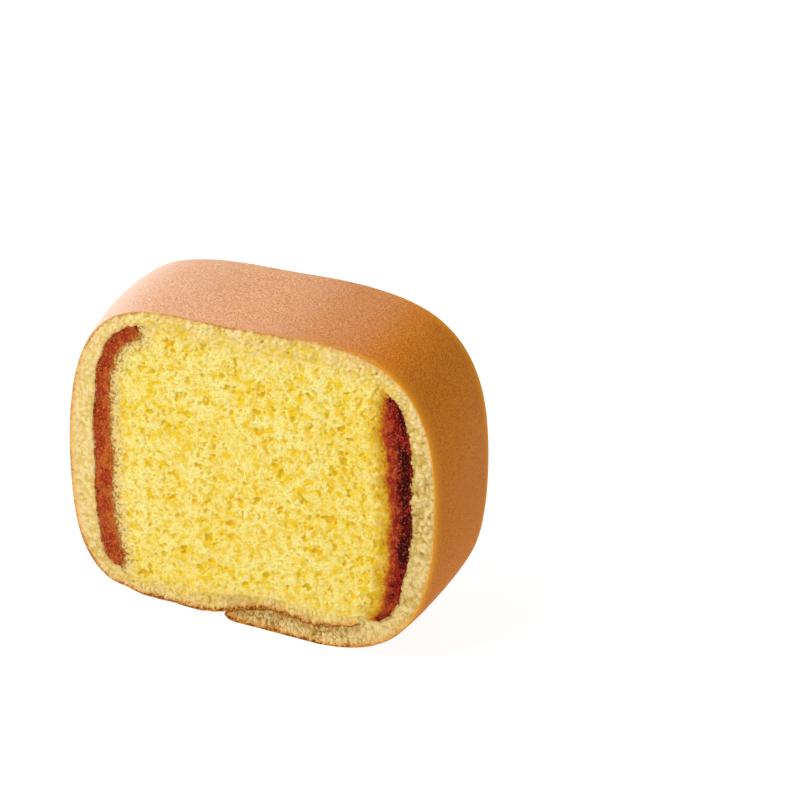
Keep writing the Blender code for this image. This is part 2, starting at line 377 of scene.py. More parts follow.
class Grains:
    """Seeded rounded grains over a plane, packed side by side, from 0 between them to 1 on top."""

    size = 256

    def __init__(self, rng, pitch, width):
        self.pitch = pitch
        self.width = width
        self.centres = rng.random((self.size, self.size, 2))

    def at(self, u, v):
        nearest = np.full(u.shape, np.inf)
        second = np.full(u.shape, np.inf)
        for column, row in cells_round(u / self.pitch, v / self.pitch):
            centre = self.centres[column % self.size, row % self.size]
            to_right = u / self.pitch - (column + centre[..., 0])
            to_top = v / self.pitch - (row + centre[..., 1])
            distance = np.hypot(to_right, to_top)
            second = np.minimum(second, np.maximum(distance, nearest))
            nearest = np.minimum(nearest, distance)
        share = np.clip((second - nearest) / self.width, 0.0, 1.0)
        return share * (2 - share)


class Bubbles:
    """Seeded open bubbles over a plane: round or tall dents, at most one in each square cell."""

    size = 128
    slant_spread = 0.4

    def __init__(self, rng, pitch, chance, radii, tallness):
        square = (self.size, self.size)
        self.pitch = pitch
        self.centres = rng.random((*square, 2))
        self.drawn = rng.random(square) < chance
        self.radii = radii[0] + (radii[1] - radii[0]) * rng.random(square) ** 2
        self.tallness = rng.uniform(*tallness, square)
        self.slant = rng.normal(0.0, self.slant_spread, square)

    def at(self, u, v, ragged):
        """Depth of the dents in mm, about each bubble's radius, with their edges moved by ragged."""
        depth = np.zeros_like(u)
        for column, row in cells_round(u / self.pitch, v / self.pitch):
            cell = (column % self.size, row % self.size)
            to_right = u - (column + self.centres[cell][..., 0]) * self.pitch
            to_top = v - (row + self.centres[cell][..., 1]) * self.pitch
            sine = np.sin(self.slant[cell])
            cosine = np.cos(self.slant[cell])
            width = to_right * cosine + to_top * sine
            height = (to_top * cosine - to_right * sine) / self.tallness[cell]
            radius = self.radii[cell]
            within = 1.0 - (width * width + height * height) / radius**2
            within = smooth(np.clip(within + ragged, 0.0, 1.0))
            depth = np.maximum(depth, within * radius * self.drawn[cell])
        return depth


class Relief:
    """Relief of a cut face: packed grains, open bubbles and smooth swells, warped so none is regular.

    warp is (pitch, reach), ragged is (pitch, share of a bubble), grains are (pitch, width of the
    valleys, depth), bubbles are (pitch, chance, radii, tallness, depth for a radius of 1), swells are
    (pitch, depth) and holes are single bubbles (x, z, half width, half height), all in mm.
    """

    def __init__(self, rng, warp, ragged, grains, bubbles, swells, deepest, holes=()):
        self.warp = warp[1]
        self.warp_x = Noise(rng, warp[0])
        self.warp_z = Noise(rng, warp[0])
        self.ragged = Noise(rng, ragged[0])
        self.raggedness = ragged[1]
        self.grains = [(Grains(rng, pitch, width), depth) for pitch, width, depth in grains]
        self.bubbles = [(Bubbles(rng, *shape), depth) for *shape, depth in bubbles]
        self.swells = [(Noise(rng, pitch), depth) for pitch, depth in swells]
        self.deepest = deepest
        self.holes = holes

    def warped(self, x, z):
        return x + self.warp * self.warp_x.at(x, z), z + self.warp * self.warp_z.at(x, z)

    def open_at(self, x, z):
        """Depth in mm of the open bubbles alone, whose edges are warped and ragged."""
        u, v = self.warped(x, z)
        ragged = self.raggedness * self.ragged.at(x, z)
        depth = np.zeros_like(x)
        for bubbles, factor in self.bubbles:
            depth = np.maximum(depth, factor * bubbles.at(u, v, ragged))
        for middle_x, middle_z, half_width, half_height in self.holes:
            within = 1.0 - ((u - middle_x) / half_width) ** 2 - ((v - middle_z) / half_height) ** 2
            within = smooth(np.clip(within + ragged, 0.0, 1.0))
            depth = np.maximum(depth, HOLE_DEPTH * min(half_width, half_height) * within)
        return depth

    def at(self, x, z):
        """Depth below the cut in mm."""
        u, v = self.warped(x, z)
        depth = self.open_at(x, z)
        for grains, valley in self.grains:
            depth += valley * (1.0 - grains.at(u, v))
        for swell, reach in self.swells:
            depth += reach * swell.at(x, z)
        return np.clip(depth, -HIGHEST, self.deepest)


def sponge_relief(rng, holes):
    return Relief(
        rng,
        warp=(0.6, 0.28),
        ragged=(0.4, 0.8),
        grains=((0.66, 0.55, 0.07), (0.34, 0.6, 0.07)),
        bubbles=(
            (0.44, 0.55, (0.11, 0.24), (0.8, 1.5), 0.42),
            (0.95, 0.55, (0.24, 0.50), (0.8, 1.9), 0.38),
        ),
        swells=((1.3, 0.04), (4.0, 0.08)),
        deepest=0.5,
        holes=holes,
    )


def skin_relief(rng):
    return Relief(
        rng,
        warp=(0.6, 0.28),
        ragged=(0.3, 0.6),
        grains=((0.95, 0.7, 0.17), (0.40, 0.6, 0.07)),
        bubbles=(
            (0.75, 0.32, (0.14, 0.28), (0.7, 1.3), 0.7),
            (1.6, 0.3, (0.20, 0.42), (0.7, 1.2), 0.6),
        ),
        swells=((1.2, 0.1), (4.0, 0.04)),
        deepest=0.4,
    )


def paste_relief(rng):
    return Relief(
        rng,
        warp=(0.5, 0.25),
        ragged=(0.3, 0.4),
        grains=((0.36, 0.6, 0.16), (0.8, 0.6, 0.14)),
        bubbles=((1.1, 0.35, (0.15, 0.35), (0.8, 1.6), 0.5),),
        swells=((1.4, 0.08),),
        deepest=0.6,
    )


# Meshes

def quads(grid):
    """Faces between the rows and columns of a grid of vertices."""
    corners = [grid[:-1, :-1], grid[:-1, 1:], grid[1:, 1:], grid[1:, :-1]]
    return np.stack(corners, axis=-1).reshape(-1, 4)


def add_object(name, data):
    thing = bpy.data.objects.new(name, data)
    bpy.context.scene.collection.objects.link(thing)
    return thing


def make_piece(name, node, slot, material, vertices, faces, attributes):
    """A closed mesh from arrays in mm, standing for a node of the frame."""
    data = bpy.data.meshes.new(name)
    data.from_pydata((np.asarray(vertices) * MM).tolist(), [], faces)
    for key, values in attributes.items():
        layer = data.attributes.new(key, "FLOAT", "POINT")
        layer.data.foreach_set("value", np.asarray(values, dtype=np.float32))
    data.materials.append(material)
    data.update()
    data.shade_smooth()
    data.set_sharp_from_angle(angle=math.radians(SHARP_ANGLE))
    piece = add_object(name, data)
    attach(piece, "root")
    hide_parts(node)


class Ring:
    """The lines round a layer: its outer face, the back cut, its inner face and the front cut.

    Each line has a share across the thickness, a place in the depth, how far it tucks in from the
    outer face as a share of the rounding, and the cut that it lies on: -1 for the front, 1 for the
    back and 0 for neither.
    """

    def __init__(self, outer_spans, cut_spans, inner_spans, rounding, rounding_spans):
        angles = np.linspace(0, np.pi / 2, rounding_spans + 1)
        in_depth = rounding * (1 - np.cos(angles))
        tucks = 1 - np.sin(angles)
        half = DEPTH / 2
        lines = [(0.0, -half + y, tuck, 0) for y, tuck in zip(in_depth, tucks)]
        reach = half - rounding
        lines += [(0.0, y, 0.0, 0) for y in np.linspace(-reach, reach, outer_spans + 1)[1:-1]]
        lines += [(0.0, half - y, tuck, 0) for y, tuck in zip(in_depth[::-1], tucks[::-1])]
        lines[0] = (*lines[0][:3], -1)
        lines[-1] = (*lines[-1][:3], 1)
        lines += [(t, half, 1.0, 1) for t in np.linspace(0, 1, cut_spans + 1)[1:]]
        lines += [(1.0, y, 1.0, 0) for y in np.linspace(half, -half, inner_spans + 1)[1:-1]]
        lines += [(t, -half, 1.0, -1) for t in np.linspace(1, 0, cut_spans + 1)[:-1]]
        self.across, self.depth, self.tuck, self.side = np.array(lines).T
        self.rounding = rounding

    def insets(self, outer, inner):
        """Insets of every line at places whose faces have these insets, thin places tucked in less."""
        thickness = (inner - outer)[:, None]
        tuck = self.tuck * np.minimum(self.rounding, THIN_TUCK * thickness)
        return outer[:, None] + tuck + (thickness - tuck) * self.across


def make_layer(piece, ring, places, outer, inner, reliefs, carve, proud, tables):
    """A layer along the outline, its cuts carved with a relief and its faces standing proud.

    reliefs are the front's and the back's, read along the outline and across the layer, carve turns
    their depth into the one that is cut, and proud gives how far the layer's faces stand out at each
    place and depth. tables become attributes that the material reads. piece is its name, the node that
    it stands for, its slot, which is not used, and its material.
    """
    insets = ring.insets(outer, inner)
    depth = np.broadcast_to(ring.depth, insets.shape).copy()
    round_places = np.broadcast_to(places[:, None], insets.shape)
    share = depth / DEPTH + 0.5
    shift = proud(round_places, depth, ring.across) if proud else 0.0
    flat = flat_points(round_places, insets - shift, share)
    from_rim = insets - outer[:, None]
    from_bed = inner[:, None] - insets
    pit = np.zeros_like(insets)
    for side, relief in zip((-1, 1), reliefs):
        lines = ring.side == side
        drawn_out = insets[:, lines] * eased(STRETCH, round_places[:, lines])
        below = relief.at(round_places[:, lines] * PERIMETER, drawn_out)
        below = carve(below, from_rim[:, lines], from_bed[:, lines], round_places[:, lines])
        pit[:, lines] = below
        depth[:, lines] -= side * below

    vertices = np.stack([flat[..., 0], depth, np.maximum(flat[..., 1], 0.0)], axis=-1).reshape(-1, 3)
    index = np.arange(insets.size).reshape(insets.shape)
    sides = quads(np.hstack([index, index[:, :1]]))
    faces = sides.tolist() + [index[0, ::-1].tolist(), index[-1].tolist()]

    attributes = {
        "rim": from_rim.ravel(),
        "bed": from_bed.ravel(),
        "edge": np.broadcast_to(DEPTH / 2 - np.abs(ring.depth), insets.shape).ravel(),
        "pit": pit.ravel(),
    }
    for key, table in tables.items():
        attributes[key] = eased(table, round_places).ravel()
    make_piece(*piece, vertices, faces, attributes)


def rounded(places, insets, start, end, reach, pinch):
    """Outer and inner insets with rounded ends, which close pinch of the way from outer to inner."""
    outer, inner = insets
    distance = np.minimum(places - start, end - places)
    share = 1.0 - np.clip(distance / reach, 0.0, 1.0)
    share = np.maximum(np.sqrt(1.0 - share * share), BLUNT)
    line = outer + (inner - outer) * pinch
    return line + (outer - line) * share, line + (inner - line) * share


def end_places(end, heading, reach):
    """Places that round off an end, closer together towards it."""
    angles = np.pi / 2 * np.arange(1, END_STEPS + 1) / END_STEPS
    return end - heading * reach * (1 - np.sin(angles))


# Materials

def linear(colour):
    """What a shader takes for a colour seen on a screen, whose values go from 0 to 255."""
    if isinstance(colour, bpy.types.NodeSocket):
        return colour
    values = []
    for value in colour:
        share = value / 255
        values.append(share / 12.92 if share <= 0.04045 else ((share + 0.055) / 1.055) ** 2.4)
    return (*values, 1.0)


class Nodes:
    """A material's node tree, written as short calls."""

    def __init__(self, name):
        self.material = bpy.data.materials.new(name)
        self.material.use_nodes = True
        self.tree = self.material.node_tree
        self.shader = self.tree.nodes["Principled BSDF"]
        self.place = self.add("ShaderNodeTexCoord").outputs["Object"]

    def __getitem__(self, name):
        """The mesh's attribute of this name."""
        return self.add("ShaderNodeAttribute", attribute_name=name).outputs["Fac"]

    def add(self, kind, inputs=None, **settings):
        """A node with these settings, whose inputs are joined to sockets or hold values."""
        node = self.tree.nodes.new(kind)
        for key, value in settings.items():
            setattr(node, key, value)
        for key, source in (inputs or {}).items():
            self.join(source, node.inputs[key])
        return node

    def join(self, source, target):
        if isinstance(source, bpy.types.NodeSocket):
            self.tree.links.new(source, target)
        else:
            target.default_value = source

    def noise(self, size, detail=3.0, roughness=0.6, squeeze=(1.0, 1.0, 1.0)):
        """Noise around 0.5 with features about this size in mm, squeezed this much on each axis."""
        inputs = {0: self.place, 1: squeeze}
        vector = self.add("ShaderNodeVectorMath", inputs, operation="MULTIPLY").outputs["Vector"]
        inputs = {"Vector": vector, "Scale": 1 / (size * MM), "Detail": detail, "Roughness": roughness}
        return self.add("ShaderNodeTexNoise", inputs).outputs["Fac"]

    def math(self, operation, first, second):
        return self.add("ShaderNodeMath", {0: first, 1: second}, operation=operation).outputs["Value"]

    def sum(self, first, second):
        return self.math("ADD", first, second)

    def times(self, value, *factors):
        for factor in factors:
            value = self.math("MULTIPLY", value, factor)
        return value

    def shaken(self, value, *moves):
        """A value moved by noises, each followed by its reach: by about a quarter of it either way."""
        for noise, reach in zip(moves[::2], moves[1::2]):
            value = self.sum(value, self.times(self.sum(noise, -0.5), reach))
        return value

    def ramp(self, value, low, high, start=0.0, end=1.0):
        """From start where the value is low, eased to end where it is high. low may be the greater."""
        inputs = {"Value": value, "From Min": low, "From Max": high, "To Min": start, "To Max": end}
        return self.add("ShaderNodeMapRange", inputs, interpolation_type="SMOOTHSTEP").outputs["Result"]

    def mix(self, share, first, second):
        """From one colour to another, each a socket or its values on a screen from 0 to 255."""
        inputs = {"Factor": share, 6: linear(first), 7: linear(second)}
        return self.add("ShaderNodeMix", inputs, data_type="RGBA").outputs[2]

    def bump(self, height, distance):
        """A normal from a height, whose full range stands this many mm high."""
        node = self.add("ShaderNodeBump", {"Height": height, "Distance": distance * MM})
        self.join(node.outputs["Normal"], self.shader.inputs["Normal"])

    def soften(self, weight, reach, *radii):
        """Light that seeps through: its weight, its reach in mm and a share of that by colour."""
        for key, value in (("Weight", weight), ("Scale", reach * MM), ("Radius", radii)):
            self.shader.inputs["Subsurface " + key].default_value = value

    def finish(self, colour, roughness, specular):
        self.join(colour, self.shader.inputs["Base Color"])
        self.join(roughness, self.shader.inputs["Roughness"])
        self.shader.inputs["Specular IOR Level"].default_value = specular
        return self.material


def golden_patches(nodes, grain):
    """A value that is high in the golden patches of the crumb, which drift on into the skin's cut."""
    blots = nodes.noise(1.25, detail=2.0, roughness=0.5)
    clouds = nodes.noise(3.0)
    return nodes.shaken(blots, clouds, 0.6, grain, 0.2)


def sponge_material():
    """Yellow crumb with golden patches, painted shade in bubbles, stained by the right strip, pale by
    left.
    """
    nodes = Nodes("yellow_crumb")
    fine = nodes.noise(FINE_PITCH, roughness=0.65)
    grain = nodes.noise(GRAIN_PITCH)
    tints = nodes.noise(0.4, squeeze=(1.3, 1.3, 1.3))
    patches = nodes.noise(1.7, roughness=0.55)

    # Paler on the grains, darker and more golden deeper in: painted shade in the pits
    depth = nodes.shaken(nodes["pit"], grain, 0.4)
    colour = nodes.mix(nodes.ramp(depth, -0.08, 0.15), (253, 237, 154), (247, 220, 108))
    colour = nodes.mix(nodes.ramp(tints, 0.54, 0.66, 0.0, 0.24), colour, (251, 220, 120))
    colour = nodes.mix(nodes.ramp(tints, 0.46, 0.36, 0.0, 0.28), colour, (230, 210, 108))
    golden = golden_patches(nodes, grain)
    colour = nodes.mix(nodes.ramp(golden, 0.455, 0.69, 0.0, 0.95), colour, (240, 200, 28))
    colour = nodes.mix(nodes.ramp(golden, 0.45, 0.33, 0.0, 0.45), colour, (252, 235, 152))
    # Darker golden floors of the open bubbles: painted shade
    bubble = nodes.shaken(nodes["bubble_depth"], tints, 0.3)
    deep = nodes.mix(nodes.ramp(patches, 0.42, 0.58), (226, 188, 6), (240, 186, 4))
    colour = nodes.mix(nodes.ramp(bubble, 0.0, 0.2, 0.0, 0.9), colour, deep)
    colour = nodes.mix(nodes.ramp(fine, 0.56, 0.66, 0.0, 0.7), colour, (204, 178, 98))

    shelf = nodes.shaken(nodes["shelf"], patches, 2.0)
    colour = nodes.mix(nodes.ramp(shelf, 0.4, 2.4, 0.4, 0.0), colour, (238, 206, 122))
    to_right_strip = nodes["stain"]
    stain = nodes.shaken(to_right_strip, patches, 3.6, grain, 1.6)
    colour = nodes.mix(nodes.ramp(stain, 0.9, 3.6, 0.9, 0.0), colour, (206, 154, 8))
    smear = nodes.shaken(to_right_strip, grain, 2.4, patches, 1.6)
    colour = nodes.mix(nodes.ramp(smear, 0.3, 1.2, 0.95, 0.0), colour, (184, 88, 24))

    to_left_strip = nodes["pale"]
    pale = nodes.shaken(to_left_strip, patches, 2.0)
    colour = nodes.mix(nodes.ramp(pale, 1.0, 3.4, 0.8, 0.0), colour, (229, 201, 134))
    near = nodes.ramp(to_left_strip, 3.6, 0.4)
    specks = nodes.times(near, nodes.ramp(nodes.noise(0.42, detail=2.0), 0.53, 0.61))
    colour = nodes.mix(nodes.times(specks, 0.9), colour, (140, 92, 16))
    smear = nodes.shaken(to_left_strip, grain, 2.6, patches, 1.4)
    colour = nodes.mix(nodes.ramp(smear, 0.35, 1.3, 0.95, 0.0), colour, (172, 98, 28))

    nodes.soften(0.6, 0.5, 1.0, 0.8, 0.35)
    nodes.bump(fine, 0.08)
    return nodes.finish(colour, 0.85, 0.1)


def skin_cream(nodes, grain, patches, strands, lumps, warm):
    """The cut's cream: light on its grains, painted shade in its pits, duller where it is shaded."""
    tints = nodes.noise(1.6, squeeze=(1.6, 1.6, 1.6))
    # Duller by the shade table, which by the lap is partly painted shadow
    dull_and_shaded = nodes.times(nodes["shade"], nodes.ramp(patches, 0.3, 0.7, 0.7, 1.0))
    high = nodes.mix(dull_and_shaded, (250, 226, 158), nodes.mix(warm, (232, 200, 131), (234, 202, 137)))
    middle = nodes.mix(dull_and_shaded, (238, 202, 110), nodes.mix(warm, (181, 150, 72), (190, 148, 76)))
    low = nodes.mix(dull_and_shaded, (206, 158, 50), nodes.mix(warm, (128, 94, 40), (126, 80, 32)))
    depth = nodes.shaken(nodes["pit"], lumps, nodes.ramp(warm, 0.0, 1.0, 0.9, 0.4))
    depth = nodes.shaken(depth, grain, nodes.ramp(warm, 0.0, 1.0, 0.3, 0.7))
    depth = nodes.shaken(depth, strands, nodes.times(dull_and_shaded, nodes.ramp(warm, 0.0, 1.0, 0.8, 2.0)))
    # From high to middle to low with depth: the pits darker as painted shade
    cream = nodes.mix(nodes.ramp(depth, -0.02, 0.22), high, middle)
    cream = nodes.mix(nodes.ramp(depth, 0.22, 0.55), cream, low)
    cream = nodes.mix(nodes.ramp(tints, 0.52, 0.66, 0.0, 0.4), cream, (214, 194, 112))
    return nodes.mix(nodes.ramp(tints, 0.48, 0.34, 0.0, 0.4), cream, (236, 190, 116))


def skin_bed(nodes, grain, patches, warm, cream):
    """Cut beside what it lies on: golden by crumb, darker by paste, a painted shadow along the seam."""
    bed = nodes["bed"]
    touch = nodes["touch"]
    apart = nodes.math("SUBTRACT", 1.0, touch)
    to_crumb = nodes.shaken(bed, patches, 3.0)
    touching = nodes.times(touch, nodes.ramp(to_crumb, 0.4, 2.6, 0.6, 0.0))
    cream = nodes.mix(touching, cream, (244, 214, 104))
    golden = nodes.ramp(golden_patches(nodes, grain), 0.455, 0.69)
    golden = nodes.times(golden, touch, nodes.ramp(to_crumb, 0.4, 3.6, 0.85, 0.4))
    cream = nodes.mix(golden, cream, (238, 198, 34))
    by_paste = nodes.ramp(nodes.shaken(bed, grain, 1.2), 0.1, 1.0, 0.4, 0.0)
    cream = nodes.mix(nodes.times(by_paste, apart), cream, (196, 160, 84))
    # Painted shadow of the tucked strip on the lap, along the seam
    painted_seam_shadow = nodes.ramp(nodes.shaken(bed, grain, 1.4), 0.2, 1.5, 0.6, 0.0)
    return nodes.mix(nodes.times(painted_seam_shadow, warm, apart), cream, (172, 126, 48))


def skin_specks(nodes, warm, cream):
    """Light and dark specks where the cut is warm, and a duskier tone where it is browned most."""
    specks = nodes.noise(0.6, roughness=0.7, squeeze=(1.4, 1.4, 1.1))
    light = nodes.times(warm, nodes.ramp(specks, 0.53, 0.62, 0.0, 0.7))
    cream = nodes.mix(light, cream, (252, 228, 160))
    shaded = nodes.ramp(nodes["shade"], 0.2, 1.0, 0.3, 0.8)
    dark = nodes.times(warm, shaded, nodes.ramp(specks, 0.46, 0.38))
    cream = nodes.mix(dark, cream, (150, 96, 36))
    dusk = nodes.ramp(nodes["browning"], 0.9, 1.35, 0.0, 0.42)
    return nodes.mix(dusk, cream, (176, 126, 54))


def skin_rim(nodes, fine, grain, patches, strands, lumps, warm, cream):
    """The cut's rim: paler, then glowing, then a browned line as wide as browning says."""
    rim = nodes["rim"]
    browning = nodes["browning"]
    tan = nodes["tan"]
    near_rim = nodes.ramp(nodes.shaken(rim, lumps, 1.5), 0.5, 1.4, 0.5, 0.0)
    pale = nodes.times(tan, near_rim, nodes.ramp(nodes["shade"], 0.7, 0.3))
    cream = nodes.mix(pale, cream, (242, 222, 166))
    reach = nodes.ramp(browning, 0.0, 0.3, 0.65, 1.5)
    glow = nodes.times(tan, nodes.ramp(nodes.shaken(rim, grain, 0.8), 0.08, reach, 0.85, 0.0))
    glow_colour = nodes.mix(nodes.ramp(browning, 0.0, 0.3), (226, 158, 46), (238, 178, 92))
    cream = nodes.mix(glow, cream, glow_colour)

    width = nodes.shaken(nodes.times(browning, 0.9), grain, 1.4, patches, 1.2)
    width = nodes.sum(nodes.shaken(width, strands, nodes.times(warm, 3.0)), 0.1)
    edge = nodes.ramp(nodes.math("SUBTRACT", rim, width), -0.5, 0.15, 1.0, 0.0)
    core = nodes.ramp(nodes.math("SUBTRACT", rim, nodes.times(width, 0.5)), -0.12, 0.12, 1.0, 0.0)
    strength = nodes.ramp(browning, 0.0, 0.2)
    light_line = nodes.mix(nodes.ramp(fine, 0.45, 0.6), (222, 160, 84), (186, 120, 54))
    dark_line = nodes.mix(nodes.ramp(grain, 0.44, 0.56), (206, 132, 44), (136, 76, 20))
    line = nodes.mix(nodes.ramp(browning, 0.4, 0.9), light_line, dark_line)
    cut = nodes.mix(nodes.times(edge, strength), cream, (208, 150, 72))
    return nodes.mix(nodes.times(core, strength), cut, line)


def skin_crust(nodes, fine, grain, patches):
    """Speckled outside: painted sheen on top, tanner sides, partly painted shade, bright band by the
    cuts.
    """
    tan = nodes["tan"]
    speckle = nodes.ramp(fine, 0.33, 0.67)
    # The top's paler colour is a painted sheen; the sides keep the crust's tanned colour
    top = nodes.mix(speckle, (202, 135, 87), (247, 190, 145))
    side = nodes.mix(speckle, (201, 103, 10), (243, 151, 30))
    crust = nodes.mix(tan, top, side)
    # Painted sheen, paler still towards the top left
    faded = nodes.times(nodes["faded"], nodes.ramp(fine, 0.3, 0.7, 0.7, 1.0))
    crust = nodes.mix(faded, crust, (246, 224, 212))
    from_cut = nodes.shaken(nodes["edge"], grain, 1.2)
    band_width = nodes.sum(nodes.times(tan, 2.6), 0.15)
    fading = nodes.ramp(nodes["browning"], 0.0, 0.3, 1.0, 0.5)
    band = nodes.times(nodes.ramp(from_cut, 0.0, band_width, 0.9, 0.0), fading)
    crust = nodes.mix(band, crust, nodes.mix(tan, (224, 142, 34), (248, 158, 34)))
    # Darker down the sides and on the left: partly a browner crust, partly painted shade
    crust = nodes.mix(nodes["dimness"], crust, (148, 80, 20))
    glow = nodes.ramp(nodes.shaken(from_cut, patches, 0.8), 0.1, 1.0, 0.5, 0.0)
    return nodes.mix(nodes.times(nodes.ramp(tan, 0.4, 1.0), glow), crust, (255, 178, 52))


def skin_material():
    """Skin that is cream on its cuts, with a browned rim, and a tanned crust outside."""
    nodes = Nodes("browned_skin")
    fine = nodes.noise(FINE_PITCH, roughness=0.65)
    grain = nodes.noise(GRAIN_PITCH)
    patches = nodes.noise(1.8)
    lumps = nodes.noise(1.0, squeeze=(1.2, 1.2, 1.2))
    strands = nodes.noise(0.7, squeeze=(1.3, 1.3, 0.35))
    browning = nodes["browning"]
    warm = nodes.ramp(browning, 0.4, 0.9)

    cut = skin_cream(nodes, grain, patches, strands, lumps, warm)
    cut = skin_bed(nodes, grain, patches, warm, cut)
    cut = skin_specks(nodes, warm, cut)
    cut = skin_rim(nodes, fine, grain, patches, strands, lumps, warm, cut)
    crust = skin_crust(nodes, fine, grain, patches)
    past_edge = nodes.times(nodes["tan"], nodes.ramp(browning, 0.1, 0.4, 0.2, 0.0))
    past_edge = nodes.sum(past_edge, 0.09)
    colour = nodes.mix(nodes.ramp(nodes["rim"], 0.0, past_edge), crust, cut)

    nodes.soften(0.2, 0.4, 1.0, 0.6, 0.3)
    nodes.bump(nodes.sum(fine, nodes.times(grain, 0.6)), 0.13)
    return nodes.finish(colour, 0.6, 0.06)


def paste_material(name, outer_tones, inner_tones, inmost, dark, streak, glints, turn, roughness):
    """Moist paste that turns from outer to inner tones this share of the way in, then to the inmost.

    Dark fills its pits as painted shade, streaks run by the skin where wet, glints differ by the skin.
    """
    nodes = Nodes(name)
    fine = nodes.noise(0.24, roughness=0.65)
    grain = nodes.noise(GRAIN_PITCH)
    sparkle = nodes.noise(0.5, detail=2.0, squeeze=(1.7, 1.7, 1.2))
    broad = nodes.noise(3.0)
    strands = nodes.noise(1.2, squeeze=(1.0, 1.0, 0.2))
    hue = nodes.ramp(nodes.noise(1.5), 0.4, 0.6)
    rim = nodes["rim"]
    wet = nodes["wet"]
    share = nodes.math("DIVIDE", rim, nodes.sum(rim, nodes["bed"]))

    side = nodes.shaken(share, broad, 0.8, grain, 0.5)
    dry = nodes.math("SUBTRACT", 1.0, wet)
    inward = nodes.math("MAXIMUM", nodes.ramp(side, turn - 0.2, turn + 0.2), dry)
    colour = nodes.mix(inward, nodes.mix(hue, *outer_tones), nodes.mix(hue, *inner_tones))
    colour = nodes.mix(nodes.ramp(side, turn + 0.15, turn + 0.5, 0.0, 0.6), colour, inmost)
    lane = nodes.shaken(share, broad, 0.5, grain, 0.8)
    lane_start = nodes.ramp(lane, -0.15, 0.1)
    lane_end = nodes.ramp(lane, turn + 0.2, turn - 0.12)
    streaked = nodes.times(lane_start, lane_end, wet, nodes.ramp(strands, 0.43, 0.52), 0.88)
    colour = nodes.mix(streaked, colour, streak)
    colour = nodes.mix(nodes.ramp(fine, 0.46, 0.38, 0.0, 0.35), colour, dark)
    # The dark colour in the pits is painted shade
    depth = nodes.shaken(nodes["pit"], grain, 1.5)
    painted_pit_shade = nodes.times(nodes.ramp(depth, 0.16, 0.5), nodes.ramp(inward, 0.0, 1.0, 1.0, 0.55))
    colour = nodes.mix(painted_pit_shade, colour, dark)
    colour = nodes.mix(nodes.ramp(sparkle, 0.54, 0.68, 0.0, 0.6), colour, nodes.mix(inward, *glints))
    nodes.bump(fine, 0.12)
    return nodes.finish(colour, roughness, 0.05)


# Pieces

def make_skin(rng, material):
    """The skin: one strip from its tucked end, round the slice, to its rounded lap."""
    step = SKIN_STEP / PERIMETER
    lap_start = FLAP_END + 1.0
    lap_stop = LAP_END - LAP_ROUNDING
    once_round = np.linspace(FLAP_END, lap_start, round(1.0 / step), endpoint=False)
    lap = np.linspace(lap_start, lap_stop, round((lap_stop - lap_start) / step))
    lap = np.concatenate([lap, end_places(LAP_END, 1, LAP_ROUNDING)])

    lap_insets = (np.zeros_like(lap), tucked_inset(lap - 1.0) - SEAM_WIDTH)
    lap_outer, lap_inner = rounded(lap, lap_insets, FLAP_END, LAP_END, LAP_ROUNDING, LAP_PINCH)
    places = np.concatenate([once_round, lap])
    outer = np.concatenate([tucked_inset(once_round), lap_outer])
    meeting = core_inset(once_round) + GAP / 2
    inner = np.concatenate([meeting + JOINT_REACH * eased(TOUCH, once_round), lap_inner])

    swell = Noise(rng, SWELL_PITCH)
    dimples = Noise(rng, DIMPLE_PITCH)
    nodules = Noise(rng, LUMP_PITCH)

    def proud(around, depth, across):
        """The outer face swells softly, and the tucked part's is lumpy, with the lap bedded on it."""
        length = around * PERIMETER
        outside = 1.0 - across
        soft = SWELL_HEIGHT * swell.at(length, depth) + DIMPLE_HEIGHT * dimples.at(length, depth)
        bedded = np.where(around > lap_start, across, outside)
        wrapped = (around - np.round(around)) * PERIMETER
        return outside * soft + eased(LUMPS, around) * bedded * nodules.at(wrapped, depth)

    def carve(below, from_rim, from_bed, around):
        """The cut is coarser in places, dives under the crumb that it touches and is soft-edged."""
        soft = SOFT_EDGE * np.clip(1.0 - from_bed / SOFT_EDGE, 0.0, 1.0) ** 2
        coarse = below * eased(COARSENESS, around)
        return coarse + np.maximum(sunk(from_bed) * eased(TOUCH, around), soft)

    ring = Ring(SKIN_ALONG_DEPTH, SKIN_ACROSS, HIDDEN_SPANS, EDGE_ROUNDING, EDGE_SPANS)
    reliefs = [skin_relief(rng) for _ in range(2)]
    piece = ("skin", "wrapper", "browned_skin", material)
    make_layer(piece, ring, places, outer, inner, reliefs, carve, proud, SKIN_TABLES)


